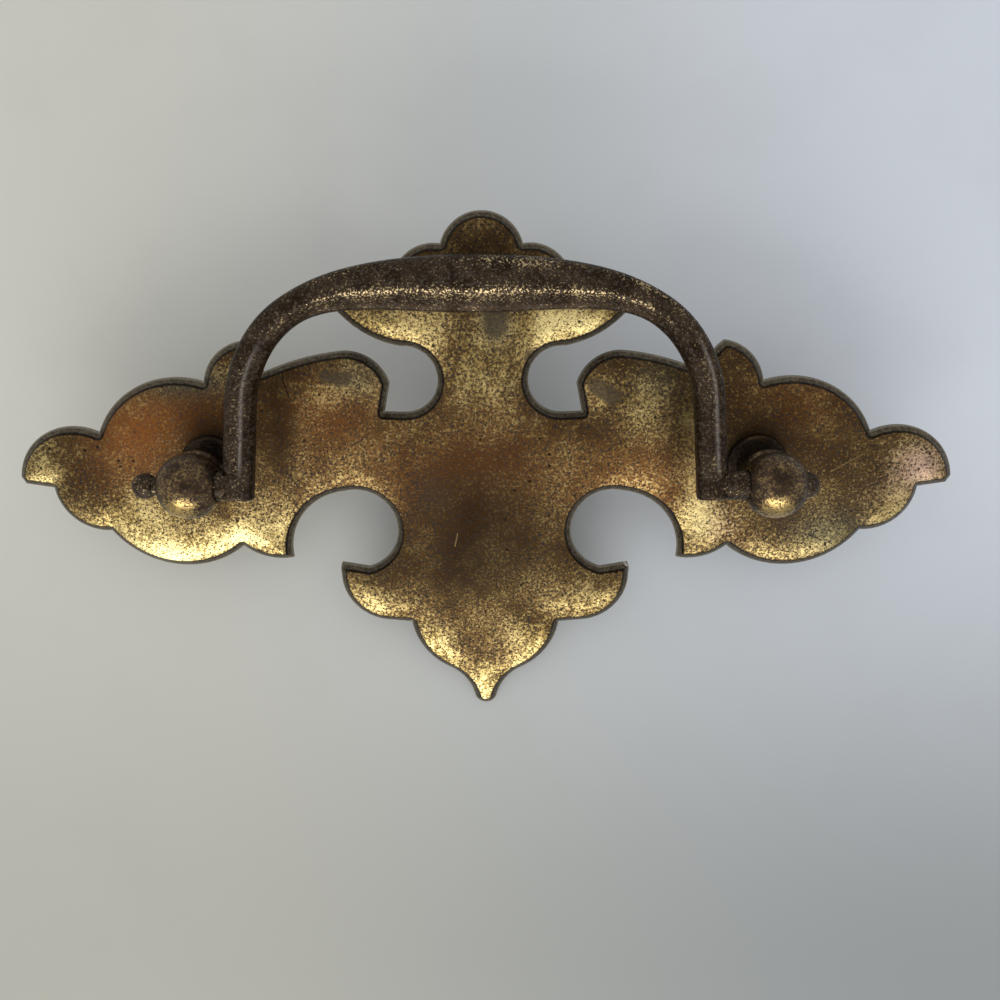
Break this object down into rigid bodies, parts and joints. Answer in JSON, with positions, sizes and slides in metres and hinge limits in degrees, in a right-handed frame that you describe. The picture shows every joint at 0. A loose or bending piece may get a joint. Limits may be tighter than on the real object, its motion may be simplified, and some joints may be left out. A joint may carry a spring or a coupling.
{
  "type": "drawer pull",
  "caption": "Scalloped backplate bail pull: a bevelled, crowned brass plate with ball-headed posts on studs, and a swelled bail that swings between the posts.",
  "frame": {"origin": "midway between the two posts, on the plane of the plate's flat back margin, where it meets the drawer front", "axes": "+X through both posts to the right, +Y up the plate in the picture, +Z out of the plate's face, away from the drawer"},
  "size_m": [0.132, 0.0724, 0.0293],
  "materials": {
    "plate_brass": "pressed brass, tarnished brown with worn bright slopes and fine pitting",
    "post_brass": "turned brass, dark tarnish, worn on the crown",
    "bail_brass": "cast brass, dark brown tarnish with worn flecks"
  },
  "bodies": {
    "plate": {"backplate": "plate_brass", "left_post": "post_brass", "right_post": "post_brass"},
    "bail": {"bail": "bail_brass"}
  },
  "joints": [
    {"name": "bail_swing", "type": "hinge", "parent": "plate", "child": "bail", "pos_m": [0, 0, 0.01227], "axis": [1, 0, 0], "range_deg": [0, 205]}
  ]
}
